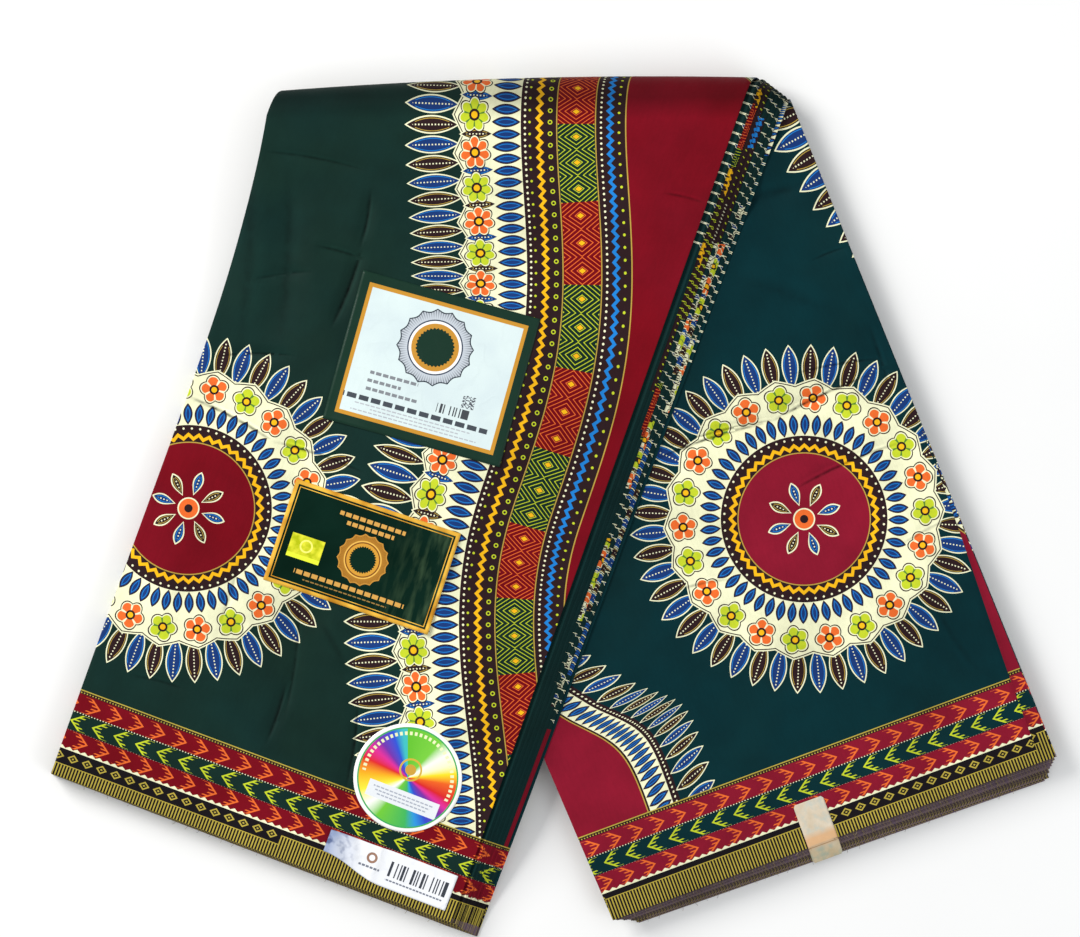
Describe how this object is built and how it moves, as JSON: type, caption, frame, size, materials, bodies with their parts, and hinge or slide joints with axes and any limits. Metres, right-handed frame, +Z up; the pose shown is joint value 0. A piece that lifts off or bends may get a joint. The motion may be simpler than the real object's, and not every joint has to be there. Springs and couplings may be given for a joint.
{
  "type": "folded wax print fabric",
  "caption": "Length of wax print cotton, lapped into a flat stack and folded once on the slant into an upturned V, with paper labels.",
  "frame": {"origin": "on the table, under the middle of the plan of the whole", "axes": "+X to the right across both legs, +Y up towards the fold, +Z up from the table"},
  "size_m": [0.7294, 0.625, 0.0356],
  "materials": {
    "print_cloth": "plain woven wax print cotton, crisp, with a faint sheen",
    "lap_edges": "folded edges of the same cotton",
    "white_label": "coated printed paper, semi-gloss, gold and green border",
    "green_label": "coated printed paper, semi-gloss, gold foil frame",
    "foil_seal": "rainbow foil seal, glossy",
    "white_sticker": "coated paper sticker, creased",
    "paper_tape": "buff paper tape, matt"
  },
  "bodies": {
    "root": {"outer_lap": "print_cloth", "inner_lap": "print_cloth", "hidden_laps": "lap_edges", "large_label": "white_label", "framed_label": "green_label", "round_seal": "foil_seal", "hem_sticker": "white_sticker", "paper_tape": "paper_tape"}
  },
  "joints": []
}
